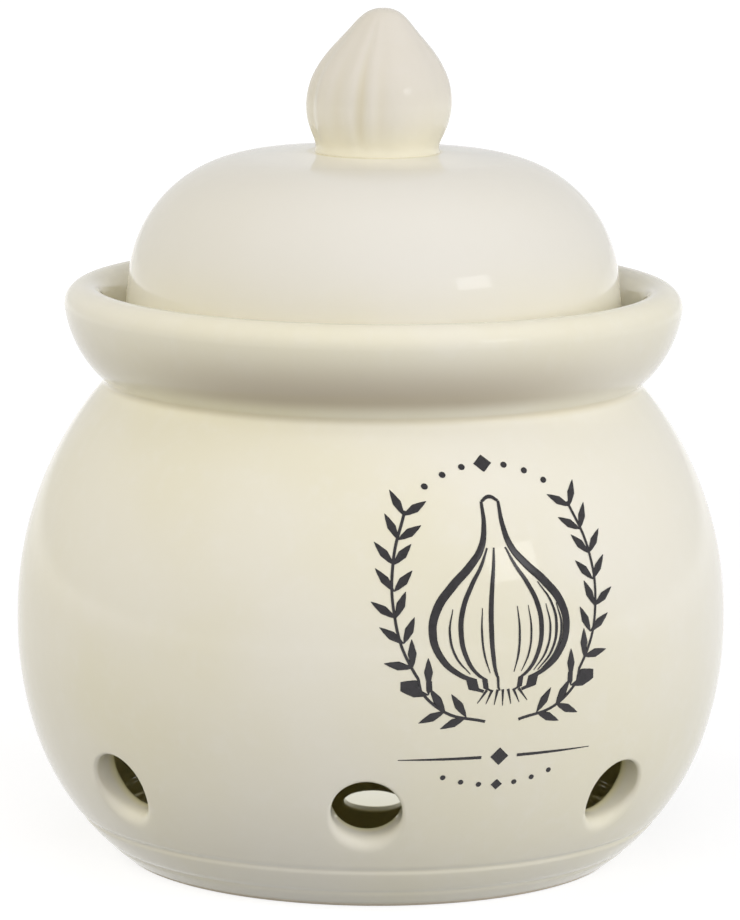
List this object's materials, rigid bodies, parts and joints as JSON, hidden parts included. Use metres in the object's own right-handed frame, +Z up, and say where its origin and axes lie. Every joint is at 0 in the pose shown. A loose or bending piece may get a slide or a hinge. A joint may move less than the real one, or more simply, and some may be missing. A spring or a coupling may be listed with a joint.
{
  "type": "garlic keeper",
  "caption": "Round-bellied glazed ceramic storage jar with a ring of round vents near the foot, a flared rounded collar and a lift-off domed lid topped by a garlic-bulb knob.",
  "frame": {"origin": "on the table, under the middle of the foot", "axes": "+Z up, along the axis that the pot was turned on; -Y towards the viewer of the picture; +X to the viewer's right"},
  "size_m": [0.125, 0.125, 0.15],
  "materials": {
    "cream_glaze": "glossy warm cream glaze over stoneware, with a bare foot ring"
  },
  "bodies": {
    "pot": {"pot": "cream_glaze"},
    "lid": {"lid": "cream_glaze", "knob": "cream_glaze"}
  },
  "joints": [
    {"name": "lid_lift", "type": "slide", "parent": "pot", "child": "lid", "axis": [0, 0, 1], "range_m": [0, 0.03]}
  ]
}
